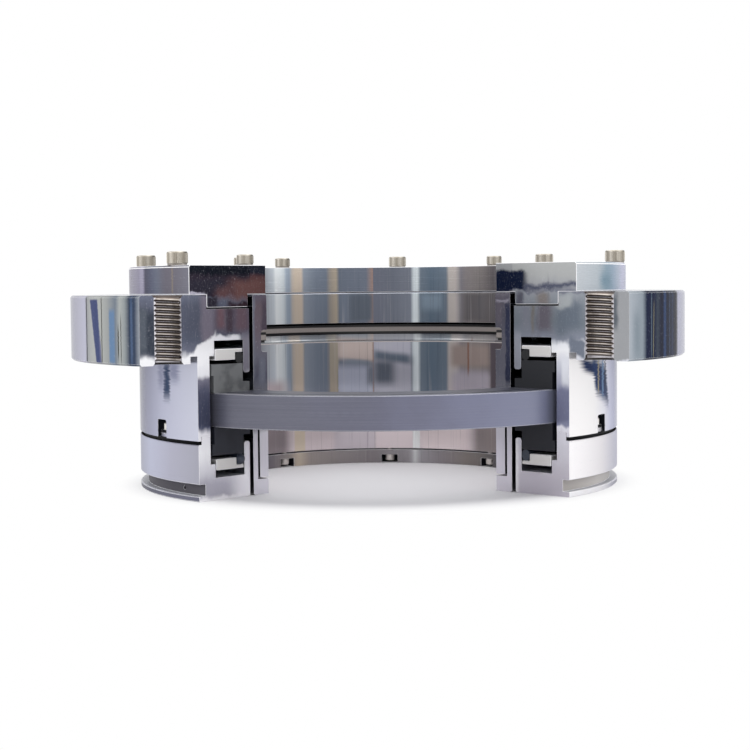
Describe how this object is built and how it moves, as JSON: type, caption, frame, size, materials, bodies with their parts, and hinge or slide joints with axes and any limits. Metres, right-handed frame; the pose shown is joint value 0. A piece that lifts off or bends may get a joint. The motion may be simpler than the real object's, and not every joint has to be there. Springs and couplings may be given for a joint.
{
  "type": "dry gas seal",
  "caption": "Double-face dry gas seal cartridge with a flanged housing, springs, carbon face rings and a turning mating ring, cut away at the front to show its section.",
  "frame": {"origin": "on the shaft axis, in the plane of the foot that the cartridge stands on", "axes": "+Z along the shaft axis, from the foot to the installation plate; the removed sector faces -Y"},
  "size_m": [0.274, 0.2355, 0.1027],
  "materials": {
    "polished_steel": "mirror-polished cut faces, fine-turned outside",
    "lower_steel": "satin, turned",
    "plate_steel": "satin, turned",
    "sleeve_steel": "honed bore, polished cut faces",
    "clamp_steel": "polished cut faces",
    "ring_ceramic": "lapped faces, satin rim",
    "carbon": "matt",
    "thrust_steel": "fine turned",
    "seal_rubber": "matt",
    "seal_polymer": "matt",
    "screw_steel": "rolled, slightly warm",
    "small_screw_steel": "bright",
    "washer_steel": "dull",
    "pin_steel": "ground",
    "spring_steel": "drawn wire"
  },
  "bodies": {
    "stator": {"housing": "polished_steel", "lower_housing": "lower_steel", "top_plate": "plate_steel", "plate_screws": "screw_steel", "sleeve_screws": "screw_steel", "screw_washers": "washer_steel", "casing_screws": "small_screw_steel", "upper_stop_pins": "pin_steel", "lower_stop_pins": "pin_steel", "upper_springs": "spring_steel", "lower_springs": "spring_steel"},
    "rotor": {"mating_ring": "ring_ceramic", "shaft_sleeve": "sleeve_steel", "clamp_sleeve": "clamp_steel", "clamp_screws": "small_screw_steel", "ring_drive_pins": "pin_steel", "ring_oring": "seal_rubber", "sleeve_seal": "seal_polymer"},
    "upper_face": {"upper_carbon_ring": "carbon", "upper_thrust_ring": "thrust_steel", "upper_oring": "seal_rubber"},
    "lower_face": {"lower_carbon_ring": "carbon", "lower_thrust_ring": "thrust_steel", "lower_oring": "seal_rubber"}
  },
  "joints": [
    {"name": "rotor_spin", "type": "hinge", "parent": "stator", "child": "rotor", "pos_m": [0, 0, 0.0373], "axis": [0, 0, 1], "continuous": true},
    {"name": "upper_face_float", "type": "slide", "parent": "stator", "child": "upper_face", "axis": [0, 0, 1], "range_m": [0, 0.0025], "stiffness_N_per_m": 5000, "springref_m": -0.008, "deforming": ["upper_springs"]},
    {"name": "lower_face_float", "type": "slide", "parent": "stator", "child": "lower_face", "axis": [0, 0, -1], "range_m": [0, 0.0025], "stiffness_N_per_m": 5000, "springref_m": -0.008, "deforming": ["lower_springs"]}
  ]
}
